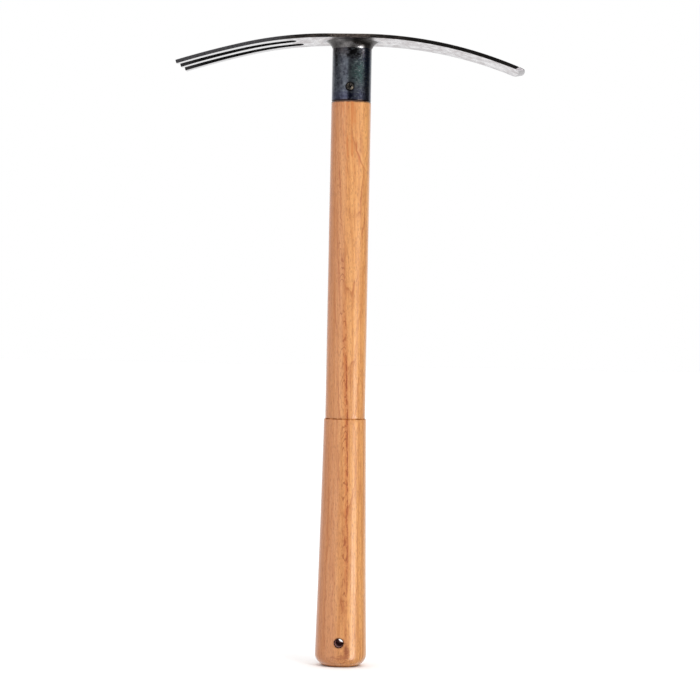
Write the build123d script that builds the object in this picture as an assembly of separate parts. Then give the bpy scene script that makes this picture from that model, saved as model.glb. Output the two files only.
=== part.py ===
from build123d import *
import os
from math import asin, degrees, hypot, radians, sin, sqrt

# Short-handled double hoe: a steel strip with three tines and a blade, welded on a socket tube over a
# turned wooden handle. Millimetres. The origin is the centre of the butt's flat face, +Z runs up the
# handle, +X points towards the blade and the fixing screw is on the -Y side.

# Driving dimensions: heights up the handle
lanyard_height = 21.2
shoulder_height = 211.1
rim_height = 483.0
screw_height = 494.6
tenon_top_height = 526.5
strip_underside_height = 534.4

# Driving dimensions: handle
shaft_diameter = 34.0
grip_top_diameter = 36.0
grip_butt_diameter = 44.5
grip_hollow = 0.32
butt_edge_radius = 10.3
shoulder_edge_radius = 0.5
shaft_end_chamfer = 0.4
shaft_end_gap = 0.2
tenon_clearance = 0.05
tenon_lead_in = 1.5
lanyard_hole_diameter = 7.0
lanyard_hole_chamfer = 0.7

# Driving dimensions: socket tube, a piece of 1 inch steel tube
tube_outside_diameter = 33.7
tube_wall = 2.6
rim_edge_radius = 0.4

# Driving dimensions: fixing screw, a countersunk wood screw
screw_head_diameter = 7.4
screw_head_rim = 0.3
screw_head_sink = 0.45
screw_length = 18.0
screw_shank_diameter = 3.3
thread_diameter = 4.0
thread_core_diameter = 2.7
thread_pitch = 1.6
thread_turns = 7
screw_clearance = 0.2
recess_span = 4.2
recess_bottom_span = 1.5
recess_slot = 0.9
recess_depth = 1.9
recess_turn = 35.0

# Driving dimensions: weld bead round the top of the tube
weld_diameter = 46.6
weld_height = 6.7
weld_hollow = 0.9

# Driving dimensions: head strip, bent to arcs on both sides of a flat middle
strip_thickness = 3.2
strip_width = 65.0
blade_flat_length = 9.5
blade_bend_radius = 346.5
blade_bend_angle = 25.0
tine_flat_length = 16.2
tine_bend_radius = 333.0
tine_bend_angle = 13.1
tine_end_radius = 800.0

# Driving dimensions: outline of the head seen from above
blade_front_reach = 148.05
blade_middle_reach = 147.55
blade_back_reach = 144.5
blade_corner_radius = 4.5
bevel_length = 5.3
blade_edge_land = 0.3
corner_bevel_length = 3.3
tine_reach = 148.0
front_slot_reach = 47.3
back_slot_reach = 43.4
tine_root_width = 13.0
tine_tip_width = 8.5
slot_corner_radius = 5.0

# Worked out from the dimensions above
shaft_radius = shaft_diameter / 2
tube_radius = tube_outside_diameter / 2
socket_radius = tube_radius - tube_wall
screw_head_face = tube_radius - screw_head_sink
strip_top_height = strip_underside_height + strip_thickness
strip_middle_height = strip_underside_height + strip_thickness / 2
above_everything = strip_top_height + 10


def turned(outline):
    """Solid of revolution about Z from a closed outline drawn as (radius, height)."""
    return revolve(Plane.XZ * make_face(outline), Axis.Z)


def tine_end_angle():
    """Angle of the last tine arc, so that the strip's top corner ends at the tine reach."""
    first_bend = (tine_bend_radius + strip_thickness) * sin(radians(tine_bend_angle))
    left_over = tine_reach - tine_flat_length - first_bend
    end_sine = sin(radians(tine_bend_angle)) + left_over / (tine_end_radius + strip_thickness)
    return degrees(asin(end_sine)) - tine_bend_angle


def bent_line(offset):
    """The strip's bent line seen from the -Y side, at a distance above its underside."""
    level = strip_underside_height + offset
    flat = Line((-tine_flat_length, level), (blade_flat_length, level))
    tine_bend = JernArc(flat @ 0, (-1, 0), tine_bend_radius + offset, tine_bend_angle)
    tine_end = JernArc(tine_bend @ 1, tine_bend % 1, tine_end_radius + offset, tine_end_angle())
    blade_bend = JernArc(flat @ 1, (1, 0), blade_bend_radius + offset, -blade_bend_angle)
    return [tine_end, tine_bend, flat, blade_bend]


def bent_strip():
    """The full-width strip: its tine end is square to the bend, its blade end is still too long."""
    lower = bent_line(0)
    upper = bent_line(strip_thickness)
    tine_tip = Line(lower[0] @ 1, upper[0] @ 1)
    blade_tip = Line(lower[-1] @ 1, upper[-1] @ 1)
    outline = make_face(lower + upper + [tine_tip, blade_tip])
    return extrude(Plane.XZ * outline, amount=strip_width / 2, both=True)


def tine_slot(side, reach):
    """The tapered gap between the middle tine and an outer one, seen from above."""
    root = -reach
    tip = -tine_reach - 1
    outer_root = strip_width / 2 - tine_root_width
    outer_tip = strip_width / 2 - tine_tip_width
    corners = [
        (root, side * tine_root_width / 2),
        (root, side * outer_root),
        (tip, side * outer_tip),
        (tip, side * tine_tip_width / 2),
    ]
    slot = make_face(Polyline(*corners, close=True))
    return fillet(slot.vertices().group_by(Axis.X)[-1], slot_corner_radius)


def head_plan():
    """Outline of the head seen from above: a slightly skewed convex blade edge, the middle and three
    tines."""
    half = strip_width / 2
    end = -tine_reach - 1
    front_corner = (blade_front_reach, -half)
    back_corner = (blade_back_reach, half)
    edge = ThreePointArc(front_corner, (blade_middle_reach, 0), back_corner)
    sides = Polyline(back_corner, (end, half), (end, -half), front_corner)
    return make_face(edge + sides) - tine_slot(-1, front_slot_reach) - tine_slot(1, back_slot_reach)


def rounded_plan():
    """The head's outline with the two blade corners rounded."""
    plan = head_plan()
    return fillet(plan.vertices().sort_by(Axis.X)[-2:], blade_corner_radius)


def blade_height(x, offset):
    """Height of the blade side of the strip at a given x, at a distance above its underside."""
    bend = blade_bend_radius + offset
    return strip_underside_height + offset - bend + sqrt(bend**2 - (x - blade_flat_length) ** 2)


def corner_wedge(side, reach):
    """What is ground off under a blade corner: everything below a plane that leaves only the land."""
    half = strip_width / 2
    land_offset = strip_thickness - blade_edge_land
    start = reach - blade_corner_radius
    heel = start - corner_bevel_length
    on_side = Vector(start, side * half, blade_height(start, land_offset))
    on_edge = Vector(reach, side * (half - blade_corner_radius), blade_height(reach, land_offset))
    on_underside = Vector(heel, side * half, blade_height(heel, 0))
    downward = (on_edge - on_side).cross(on_underside - on_side) * side
    return Plane(origin=on_side, z_dir=downward) * Box(
        40, 40, 20, align=(Align.CENTER, Align.CENTER, Align.MIN)
    )


def make_head():
    """The blade edge is bevelled from below over the full width, then its corners are rounded."""
    blank = bent_strip() & extrude(head_plan(), amount=above_everything)
    blade_end = blank.faces().sort_by(Axis.X)[-1]
    lower_edge = blade_end.edges().sort_by(Axis.Z)[0]
    ground = chamfer(lower_edge, strip_thickness - blade_edge_land, bevel_length, reference=blade_end)
    rounded = ground & extrude(rounded_plan(), amount=above_everything)
    return rounded - corner_wedge(-1, blade_front_reach) - corner_wedge(1, blade_back_reach)


def make_socket_tube(head):
    length = strip_middle_height - rim_height
    tube = Cylinder(tube_radius, length, align=(Align.CENTER, Align.CENTER, Align.MIN))
    tube = fillet(tube.edges().sort_by(Axis.Z)[0], rim_edge_radius)
    tube -= Cylinder(socket_radius, 3 * length)
    return Pos(0, 0, rim_height) * tube - screw_seat() - head


def screw_seat():
    """The countersunk hole through the front of the tube."""
    head_radius = screw_head_diameter / 2 + screw_clearance
    hole_radius = thread_diameter / 2 + screw_clearance
    outline = Polyline(
        (0, tube_radius),
        (head_radius, tube_radius),
        (head_radius, -screw_head_rim),
        (hole_radius, -screw_head_rim - head_radius + hole_radius),
        (hole_radius, -tube_wall - 1),
        (0, -tube_wall - 1),
        close=True,
    )
    return screw_place() * turned(outline)


def make_weld_fillet(head):
    """A slightly hollow bead in the corner between the tube and the strip."""
    toe_radius = weld_diameter / 2
    root_height = strip_underside_height - weld_height
    rise = toe_radius - tube_radius
    face_length = hypot(rise, weld_height)
    middle = (
        tube_radius + rise / 2 - weld_hollow * weld_height / face_length,
        root_height + weld_height / 2 + weld_hollow * rise / face_length,
    )
    face = ThreePointArc((tube_radius, root_height), middle, (toe_radius, strip_underside_height))
    back = Polyline(
        face @ 1, (toe_radius, strip_middle_height), (tube_radius, strip_middle_height), face @ 0
    )
    return turned(face + back) - head


def screw_place():
    """The screw's own frame: local +Z points out of the tube, along -Y, from the head's face."""
    return Plane(origin=(0, -screw_head_face, screw_height), x_dir=(1, 0, 0), z_dir=(0, -1, 0))


def screw_blank():
    """The screw without its recess, in its own frame, with its thread drawn as rings."""
    head_radius = screw_head_diameter / 2
    shank_radius = screw_shank_diameter / 2
    core_radius = thread_core_diameter / 2
    shank_end = thread_turns * thread_pitch - screw_length + 1.5
    points = [
        (0, 0),
        (head_radius, 0),
        (head_radius, -screw_head_rim),
        (shank_radius, -screw_head_rim - head_radius + shank_radius),
        (shank_radius, shank_end),
    ]
    for turn in range(thread_turns):
        crest = shank_end - (turn + 0.5) * thread_pitch
        points.append((core_radius, crest + 0.4 * thread_pitch))
        points.append((thread_diameter / 2, crest))
        points.append((core_radius, crest - 0.4 * thread_pitch))
    points.append((0, -screw_length))
    return turned(Polyline(*points, close=True))


def cross_recess():
    """Two crossed slots that narrow towards their bottom."""
    top = recess_span / 2
    bottom = recess_bottom_span / 2
    outline = Polyline((-top, 0), (top, 0), (bottom, -recess_depth), (-bottom, -recess_depth), close=True)
    slot = extrude(Plane.XZ * make_face(outline), amount=recess_slot / 2, both=True)
    return slot + Rot(0, 0, 90) * slot


def make_fixing_screw():
    return screw_place() * (screw_blank() - Rot(0, 0, recess_turn) * cross_recess())


def grip_outline():
    """Half outline of the flared grip, rounded at the butt and at the shoulder."""
    butt_radius = grip_butt_diameter / 2
    top_radius = grip_top_diameter / 2
    control_radius = (butt_radius + top_radius) / 2 - 2 * grip_hollow
    side = Bezier((butt_radius, 0), (control_radius, shoulder_height / 2), (top_radius, shoulder_height))
    ends = Polyline(side @ 1, (0, shoulder_height), (0, 0), side @ 0)
    grip = make_face(side + ends)
    grip = fillet(grip.vertices().sort_by_distance((butt_radius, 0))[0], butt_edge_radius)
    return fillet(grip.vertices().sort_by_distance((top_radius, shoulder_height))[0], shoulder_edge_radius)


def shaft_outline():
    """Half outline of the straight shaft and of the tenon that fills the socket."""
    shaft_top = rim_height - shaft_end_gap
    tenon_radius = socket_radius - tenon_clearance
    points = [
        (0, shoulder_height / 2),
        (shaft_radius, shoulder_height / 2),
        (shaft_radius, shaft_top - shaft_end_chamfer),
        (shaft_radius - shaft_end_chamfer, shaft_top),
        (tenon_radius, shaft_top),
        (tenon_radius, tenon_top_height - tenon_lead_in),
        (tenon_radius - tenon_lead_in, tenon_top_height),
        (0, tenon_top_height),
    ]
    return make_face(Polyline(*points, close=True))


def lanyard_hole():
    """The cross hole through the butt along Y, with a small chamfer at each mouth."""
    hole_radius = lanyard_hole_diameter / 2
    mouth_radius = hole_radius + lanyard_hole_chamfer
    flare = (grip_butt_diameter - grip_top_diameter) / 2 / shoulder_height
    grip_radius = grip_butt_diameter / 2 - flare * lanyard_height
    mouth_depth = sqrt(grip_radius**2 - mouth_radius**2) - lanyard_hole_chamfer
    hole = Rot(90, 0, 0) * Cylinder(hole_radius, 3 * grip_radius)
    for side in (-1, 1):
        cone = Cone(hole_radius, hole_radius + 3, 3, align=(Align.CENTER, Align.CENTER, Align.MIN))
        mouth = Plane(origin=(0, side * mouth_depth, 0), x_dir=(1, 0, 0), z_dir=(0, side, 0))
        hole += mouth * cone
    return Pos(0, 0, lanyard_height) * hole


def make_handle():
    handle = revolve(Plane.XZ * (grip_outline() + shaft_outline()), Axis.Z)
    return handle - lanyard_hole() - screw_place() * screw_blank()


def main():
    head = make_head()
    parts = {
        "head": head,
        "socket_tube": make_socket_tube(head),
        "weld_fillet": make_weld_fillet(head),
        "handle": make_handle(),
        "fixing_screw": make_fixing_screw(),
    }
    os.makedirs("parts", exist_ok=True)
    for name, shape in parts.items():
        shape.label = name
        export_step(shape, f"parts/{name}.step")


main()
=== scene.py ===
from math import asin, atan2, cos, hypot, pi, radians, sin, sqrt, tan

import bmesh
import bpy
from mathutils import Matrix, Vector, noise


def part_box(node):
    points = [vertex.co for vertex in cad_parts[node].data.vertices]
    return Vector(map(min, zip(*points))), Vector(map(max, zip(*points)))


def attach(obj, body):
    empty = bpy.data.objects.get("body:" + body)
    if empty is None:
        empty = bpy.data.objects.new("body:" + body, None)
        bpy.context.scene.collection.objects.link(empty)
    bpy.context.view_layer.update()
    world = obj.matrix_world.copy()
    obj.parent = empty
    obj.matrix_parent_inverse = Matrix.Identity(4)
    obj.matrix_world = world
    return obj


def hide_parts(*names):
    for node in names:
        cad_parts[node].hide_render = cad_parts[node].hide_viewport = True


# Looks of a short-handled double hoe: a bent steel strip with a blade and three tines, welded on a blued
# socket tube over a lacquered beech handle. Sizes are in millimetres and meshes are written in metres.
# The handle's axis is +Z, the blade points along +X and the fixing screw is on the -Y side.

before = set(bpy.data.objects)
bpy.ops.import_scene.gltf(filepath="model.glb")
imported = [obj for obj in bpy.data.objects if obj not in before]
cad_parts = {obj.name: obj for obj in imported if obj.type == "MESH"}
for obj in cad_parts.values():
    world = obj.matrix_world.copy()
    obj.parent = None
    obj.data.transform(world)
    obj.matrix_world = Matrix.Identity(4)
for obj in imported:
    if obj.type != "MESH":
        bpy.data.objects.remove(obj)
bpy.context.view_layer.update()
MM = 0.001

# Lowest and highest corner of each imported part
handle, tube, weld, head, screw = (
    [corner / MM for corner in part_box(node)]
    for node in ("handle", "socket_tube", "weld_fillet", "head", "fixing_screw")
)

# Handle
SHOULDER_HEIGHT = 211.1
SHAFT_RADIUS = 17
GRIP_TOP_RADIUS = 18
GRIP_BUTT_RADIUS = 22.25
GRIP_HOLLOW = 0.32
GRIP_TILT = radians(1.5)
BUTT_EDGE_RADIUS = 10.3
TENON_TOP = handle[1].z
TENON_CLEARANCE = 0.05
LANYARD_HEIGHT = 21.2
LANYARD_RADIUS = 3.5
LANYARD_MOUTH = 0.7

# Socket tube and screw
RIM_HEIGHT = tube[0].z
RIM_ROUND = 0.4
RIM_GAP = 0.2
SHAFT_END = RIM_HEIGHT - RIM_GAP
TUBE_RADIUS = tube[1].x
TUBE_WALL = 2.6
SOCKET_RADIUS = TUBE_RADIUS - TUBE_WALL
SCREW_HEIGHT = (screw[0].z + screw[1].z) / 2
SCREW_FACE = -screw[0].y
SCREW_LENGTH = 18
SCREW_HEAD_RADIUS = (screw[1].x - screw[0].x) / 2
SCREW_CLEARANCE = 0.2
SCREW_POINT = 1.5
SHANK_RADIUS = 1.65
THREAD_RADIUS = 2
THREAD_CORE_RADIUS = 1.35
THREAD_PITCH = 1.6
THREAD_TURNS = 7
RECESS_TURNS = (35, 125)

# Head strip
STRIP_THICKNESS = 3.2
STRIP_TOP = head[1].z
STRIP_UNDERSIDE = STRIP_TOP - STRIP_THICKNESS
STRIP_HALF_WIDTH = head[1].y
BLADE_FRONT_REACH = 148.02
BLADE_MIDDLE_REACH = 147.52
BLADE_BACK_REACH = 144.47
BLADE_CORNER_RADIUS = 4.5
BLADE_FLAT = 9.5
BLADE_BEND_RADIUS = 346.5
BEVEL_LENGTH = 5.3
BLADE_LAND = 0.3
CORNER_BEVEL = 3.3
TINE_REACH = -head[0].x
TINE_FLAT = 16.2
TINE_BEND_RADIUS = 333
TINE_BEND_ANGLE = radians(13.1)
TINE_END_RADIUS = 800
FRONT_SLOT_REACH = 47.3
BACK_SLOT_REACH = 43.4
TINE_ROOT_WIDTH = 13
TINE_TIP_WIDTH = 8.5
SLOT_CORNER_RADIUS = 5
EDGE_ROUND = 0.35

# Weld bead
WELD_TOE_RADIUS = weld[1].x
WELD_ROOT = weld[0].z
WELD_HOLLOW = 0.9
WELD_OVERLAP = 0.05


# Node trees

class Value:
    """What a node gives out. Arithmetic on values adds the nodes that work it out."""

    def __init__(self, shader, socket):
        self.shader = shader
        self.socket = socket

    def __add__(self, other):
        return self.shader.calc("ADD", self, other)

    def __sub__(self, other):
        return self.shader.calc("SUBTRACT", self, other)

    def __rsub__(self, other):
        return self.shader.calc("SUBTRACT", other, self)

    def __mul__(self, other):
        return self.shader.calc("MULTIPLY", self, other)

    def __abs__(self):
        return self.shader.calc("ABSOLUTE", self)


def paint(colour):
    """A screen colour, 0 to 255, as the linear colour of a shader. Values stay."""
    if isinstance(colour, Value):
        return colour
    levels = [level / 255 for level in colour]
    return [*(v / 12.92 if v <= 0.04045 else ((v + 0.055) / 1.055) ** 2.4 for v in levels), 1]


class Shader:
    """Builds a node tree. Each method adds nodes and gives back a value."""

    def __init__(self, tree):
        self.tree = tree
        tree.nodes.clear()

    def put(self, kind, inputs, out=0, **settings):
        made = self.tree.nodes.new(kind)
        for key, value in settings.items():
            setattr(made, key, value)
        for key, value in inputs.items():
            if isinstance(value, Value):
                self.tree.links.new(value.socket, made.inputs[key])
            else:
                made.inputs[key].default_value = value
        return Value(self, made.outputs[out]) if made.outputs else None

    def position(self):
        """The point's place in millimetres."""
        return self.times(self.put("ShaderNodeNewGeometry", {}, "Position"), (1 / MM,) * 3)

    def normal(self):
        """The X, Y and Z parts of the direction that the surface faces."""
        return self.split(self.put("ShaderNodeNewGeometry", {}, "Normal"))

    def vector(self, operation, first, second, out=0):
        return self.put("ShaderNodeVectorMath", {0: first, 1: second}, out, operation=operation)

    def times(self, vector, factors):
        return self.vector("MULTIPLY", vector, factors)

    def distance(self, place, centre, factors):
        """How far a place is from a centre, after each axis is multiplied by its factor."""
        apart = self.times(self.vector("SUBTRACT", place, centre), factors)
        return self.vector("LENGTH", apart, (0, 0, 0), "Value")

    def split(self, vector):
        node = self.put("ShaderNodeSeparateXYZ", {0: vector}).socket.node
        return [Value(self, output) for output in node.outputs]

    def join(self, x, y, z):
        return self.put("ShaderNodeCombineXYZ", {0: x, 1: y, 2: z})

    def calc(self, operation, first, second=0):
        return self.put("ShaderNodeMath", {0: first, 1: second}, operation=operation)

    def larger(self, first, second):
        return self.calc("MAXIMUM", first, second)

    def cycle(self, value, length):
        """How far a value is through a cycle that repeats, from 0 to 1."""
        return self.calc("FRACT", self.calc("DIVIDE", value, length))

    def noise(self, place, factors, detail=2, roughness=0.5):
        """An uneven value around a half, with factors for its features per millimetre."""
        inputs = {"Vector": self.times(place, factors), "Detail": detail, "Roughness": roughness}
        return self.put("ShaderNodeTexNoise", {"Scale": 1, **inputs})

    def cells(self, vector, out="Distance"):
        return self.put("ShaderNodeTexVoronoi", {0: vector, "Scale": 1}, out, voronoi_dimensions="2D")

    def remap(self, value, low, high, new_low=0, new_high=1, kind="SMOOTHSTEP"):
        inputs = {0: value, 1: low, 2: high, 3: new_low, 4: new_high}
        return self.put("ShaderNodeMapRange", inputs, interpolation_type=kind)

    def share(self, value, low, high, most=1):
        """0 where the value is low, rising smoothly to the most where it is high."""
        return self.remap(value, low, high, 0, most)

    def ramp(self, value, stops):
        """A scale of colours with stops (place, linear grey) or (place, screen colour)."""
        made = self.put("ShaderNodeValToRGB", {0: value})
        elements = made.socket.node.color_ramp.elements
        while len(elements) < len(stops):
            elements.new(1)
        for element, (place, colour) in zip(elements, stops):
            element.position = place
            element.color = paint(colour) if isinstance(colour, tuple) else (colour,) * 3 + (1,)
        return made

    def mix(self, share, first, second):
        colours = {0: share, 6: paint(first), 7: paint(second)}
        return self.put("ShaderNodeMix", colours, 2, data_type="RGBA")

    def layers(self, colour, *coats):
        """Coats (colour, value, low, high, most), each laid on as far as its value is past low."""
        for coat, *limits in coats:
            colour = self.mix(self.share(*limits), colour, coat)
        return colour

    def bump(self, height, depth, under=None):
        """Relief of a depth in millimetres, over an earlier relief."""
        inputs = {"Height": height, "Distance": depth * MM}
        if under is not None:
            inputs["Normal"] = under
        return self.put("ShaderNodeBump", inputs)

    def surface(self, colour, roughness, others):
        inputs = {"Base Color": colour, "Roughness": roughness, **others}
        shader = self.put("ShaderNodeBsdfPrincipled", inputs)
        self.put("ShaderNodeOutputMaterial", {"Surface": shader})

    def metal(self, colour, roughness, relief, metallic=1):
        self.surface(colour, roughness, {"Metallic": metallic, "Normal": relief})


def new_material(name):
    """A material, the shader that builds it and the place of its points in millimetres."""
    material = bpy.data.materials.new(name)
    material.use_nodes = True
    s = Shader(material.node_tree)
    return material, s, s.position()


# Mesh helpers

def add_object(name, data):
    """A new object in the scene that shows a mesh, a light or a camera."""
    made = bpy.data.objects.new(name, data)
    bpy.context.scene.collection.objects.link(made)
    return made


def add_mesh(name, bm):
    """A new object in the scene with the mesh that was built."""
    mesh = bpy.data.meshes.new(name)
    bm.to_mesh(mesh)
    bm.free()
    return add_object(name, mesh)


def add_piece(node, bm, material, sharp_angle=27):
    """Writes a mesh given in millimetres as the piece that stands for one CAD node."""
    bmesh.ops.remove_doubles(bm, verts=bm.verts, dist=1e-4)
    bmesh.ops.recalc_face_normals(bm, faces=bm.faces)
    bmesh.ops.scale(bm, vec=(MM, MM, MM), verts=bm.verts)
    piece = add_mesh(node, bm)
    piece.data.materials.append(material)
    piece.data.shade_smooth()
    piece.data.set_sharp_from_angle(angle=radians(sharp_angle))
    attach(piece, "root")
    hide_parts(node)
    return piece


def join_loops(bm, first, second):
    """Quads between two closed rings with the same number of points."""
    count = len(first)
    for i in range(count):
        j = (i + 1) % count
        bm.faces.new((first[i], first[j], second[j], second[i]))


def add_rings(bm, rings):
    """Closed rings of points, each one joined to the next."""
    loops = [[bm.verts.new(point) for point in ring] for ring in rings]
    for lower, upper in zip(loops, loops[1:]):
        join_loops(bm, lower, upper)
    return loops


def on_turned(radius, angle, height):
    """A point of a turned surface; angle 0 faces -Y and grows towards +X."""
    return Vector((radius * sin(angle), -radius * cos(angle), height))


def turn_on(bm, before, profile):
    """Carries a turned surface on from a ring through points (radius, height)."""
    count = len(before)
    step = 2 * pi / count
    for radius, height in profile:
        ring = [bm.verts.new(on_turned(radius, i * step, height)) for i in range(count)]
        join_loops(bm, before, ring)
        before = ring
    return before


def spread(low, high, count):
    return [low + (high - low) * i / count for i in range(count + 1)]


class Turned:
    """A turned wall whose radius depends on height, with room left for cross holes along Y."""

    def __init__(self, bm, radius_at, heights, segments):
        self.bm = bm
        self.radius_at = radius_at
        self.segments = segments
        step = 2 * pi / segments
        self.rows = [
            [bm.verts.new(on_turned(radius_at(z), i * step, z)) for i in range(segments)]
            for z in heights
        ]

    def hole_window(self, first_row, half, side):
        """The square ring of grid points round a hole, counter-clockwise seen from outside."""
        middle = 0 if side < 0 else self.segments // 2
        columns = [(middle + i) % self.segments for i in range(-half, half + 1)]
        rows = [first_row + i for i in range(2 * half + 1)]
        loop = [(rows[0], c) for c in columns[:-1]]
        loop += [(r, columns[-1]) for r in rows[:-1]]
        loop += [(rows[-1], c) for c in reversed(columns[1:])]
        loop += [(r, columns[0]) for r in reversed(rows[1:])]
        cells = {(r, c) for r in rows[:-1] for c in columns[:-1]}
        return [self.rows[r][c] for r, c in loop], cells

    def fill(self, skipped):
        """Quads over the whole wall but for the skipped cells."""
        for r, (lower, upper) in enumerate(zip(self.rows, self.rows[1:])):
            for c in range(self.segments):
                if (r, c) not in skipped:
                    d = (c + 1) % self.segments
                    self.bm.faces.new((lower[c], lower[d], upper[d], upper[c]))

    def bore(self, loop, side, height, radius):
        """Quads from the square loop in to a circle on the wall. Gives back the circle's points."""
        edge = len(loop) // 4
        before = loop
        for share in spread(0, 1, 4)[1:]:
            ring = []
            for i, outer in enumerate(loop):
                along = (i % edge) / edge * 2 - 1
                corner = atan2(along, 1) + (i // edge) * pi / 2 - pi / 2
                across = outer.co.x * -side
                x = across + (radius * cos(corner) - across) * share
                z = outer.co.z + (height + radius * sin(corner) - outer.co.z) * share
                y = sqrt(max(self.radius_at(z) ** 2 - x * x, 0))
                ring.append(self.bm.verts.new((x * -side, y * side, z)))
            join_loops(self.bm, before, ring)
            before = ring
        return before


def inner_ring(bm, before, side, height, radius, shift):
    """A copy of the ring before, at a new radius and moved into the material along Y."""
    ring = []
    for vert in before:
        angle = atan2(vert.co.z - height, vert.co.x)
        x, z = radius * cos(angle), height + radius * sin(angle)
        ring.append(bm.verts.new((x, vert.co.y - side * shift, z)))
    join_loops(bm, before, ring)
    return ring


def cap(bm, loop):
    """Closes a loop with a fan, whose middle lies in the loop's mean plane."""
    middle = bm.verts.new(sum((vert.co / len(loop) for vert in loop), Vector((0, 0, 0))))
    for first, second in zip(loop, loop[1:] + loop[:1]):
        bm.faces.new((first, second, middle))


# Handle

def grip_radius(height):
    """The flared side of the grip: a quadratic curve from the butt to the shoulder."""
    share = height / SHOULDER_HEIGHT
    control = (GRIP_BUTT_RADIUS + GRIP_TOP_RADIUS) / 2 - 2 * GRIP_HOLLOW
    ends = (1 - share) ** 2 * GRIP_BUTT_RADIUS + share**2 * GRIP_TOP_RADIUS
    return ends + 2 * share * (1 - share) * control


def butt_radius(height):
    """The rounded edge of the butt, then the side of the grip."""
    centre = grip_radius(BUTT_EDGE_RADIUS) - BUTT_EDGE_RADIUS / cos(GRIP_TILT)
    if height > BUTT_EDGE_RADIUS * (1 + sin(GRIP_TILT)):
        return grip_radius(height)
    drop = BUTT_EDGE_RADIUS - height
    return centre + sqrt(max(BUTT_EDGE_RADIUS**2 - drop**2, 0))


def butt_heights():
    """Levels up the rounded edge, evenly spread over its arc."""
    angles = spread(0, pi / 2, 12)
    return [BUTT_EDGE_RADIUS * (1 - cos(angle)) for angle in angles]


def make_handle(material):
    bm = bmesh.new()
    half = 4
    window = 6.4
    heights = butt_heights()
    heights += spread(LANYARD_HEIGHT - window, LANYARD_HEIGHT + window, 2 * half)
    first_row = len(butt_heights())
    heights += spread(LANYARD_HEIGHT + window + 4, SHOULDER_HEIGHT - 0.6, 44)
    grip = Turned(bm, butt_radius, heights, 120)
    front, front_cells = grip.hole_window(first_row, half, -1)
    back, back_cells = grip.hole_window(first_row, half, 1)
    grip.fill(front_cells | back_cells)
    cap(bm, grip.rows[0])
    mouth = LANYARD_RADIUS + LANYARD_MOUTH
    ends = []
    for side, loop in ((-1, front), (1, back)):
        ring = grip.bore(loop, side, LANYARD_HEIGHT, mouth)
        for radius, shift in ((mouth - 0.35, 0.12), (LANYARD_RADIUS + 0.1, 0.45), (LANYARD_RADIUS, 0.9)):
            ring = inner_ring(bm, ring, side, LANYARD_HEIGHT, radius, shift)
        ends.append(ring)
    add_tunnel(bm, *ends)
    add_handle_top(bm, grip.rows[-1])
    add_piece("handle", bm, material)


def add_tunnel(bm, front, back):
    """The wall of the cross hole, from the front mouth to the back one."""
    partners = []
    for vert in front:
        flat = (vert.co.x, vert.co.z)
        partners.append(min(back, key=lambda v: (v.co.x - flat[0]) ** 2 + (v.co.z - flat[1]) ** 2))
    before = front
    for share in spread(0, 1, 8)[1:-1]:
        ring = [bm.verts.new(charred(a.co.lerp(b.co, share))) for a, b in zip(front, partners)]
        join_loops(bm, before, ring)
        before = ring
    join_loops(bm, before, partners)


def charred(point):
    """A point of the bore, moved inwards by the uneven crust that burning left."""
    crust = 0.955 + 0.03 * noise.noise(point * 0.7)
    height = LANYARD_HEIGHT + (point.z - LANYARD_HEIGHT) * crust
    return Vector((point.x * crust, point.y, height))


def add_handle_top(bm, start):
    """Shoulder, shaft and tenon, built up ring by ring from the top of the grip."""
    tenon = SOCKET_RADIUS - TENON_CLEARANCE
    crown = ((-0.02, -0.35), (-0.14, -0.12), (-0.4, 0))
    groove = ((0.1, 0), (-0.15, 0.1), (-0.15, 0.3), (0, 0.8))
    end = ((0, -1.1), (0, -0.75), (-0.12, -0.4), (-0.5, 0))
    profile = [(GRIP_TOP_RADIUS + out, SHOULDER_HEIGHT + up) for out, up in crown]
    profile += [(SHAFT_RADIUS + out, SHOULDER_HEIGHT + up) for out, up in groove]
    profile += [(SHAFT_RADIUS, z) for z in spread(SHOULDER_HEIGHT + 4, SHAFT_END - 4, 56)]
    profile += [(SHAFT_RADIUS + out, SHAFT_END + up) for out, up in end]
    profile += [(tenon, z) for z in [SHAFT_END] + spread(SHAFT_END + 2, TENON_TOP - 1.5, 10)]
    profile += [(tenon - 1.5, TENON_TOP), (tenon / 2, TENON_TOP)]
    cap(bm, turn_on(bm, start, profile))


# Socket tube

def make_socket_tube(material):
    bm = bmesh.new()
    half = 4
    window = 5.2
    top = STRIP_UNDERSIDE - 0.02
    low = [RIM_HEIGHT + RIM_ROUND, RIM_HEIGHT + RIM_ROUND + 0.2, SCREW_HEIGHT - window - 2.6]
    around = spread(SCREW_HEIGHT - window, SCREW_HEIGHT + window, 2 * half)
    heights = low + around + spread(SCREW_HEIGHT + window + 2.2, top, 12)
    outside = Turned(bm, lambda z: TUBE_RADIUS, heights, 120)
    inside = Turned(bm, lambda z: SOCKET_RADIUS, heights, 120)
    loop, cells = outside.hole_window(len(low), half, -1)
    inner_loop, inner_cells = inside.hole_window(len(low), half, -1)
    outside.fill(cells)
    inside.fill(inner_cells)
    seat = SCREW_HEAD_RADIUS + SCREW_CLEARANCE
    ring = outside.bore(loop, -1, SCREW_HEIGHT, seat)
    for shift in (0.12, 0.5):
        ring = inner_ring(bm, ring, -1, SCREW_HEIGHT, seat - 0.12, shift)
    through = inside.bore(inner_loop, -1, SCREW_HEIGHT, THREAD_RADIUS + SCREW_CLEARANCE)
    join_loops(bm, ring, through)
    join_loops(bm, outside.rows[-1], inside.rows[-1])
    add_rim(bm, outside.rows[0], inside.rows[0])
    add_piece("socket_tube", bm, material)


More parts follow.
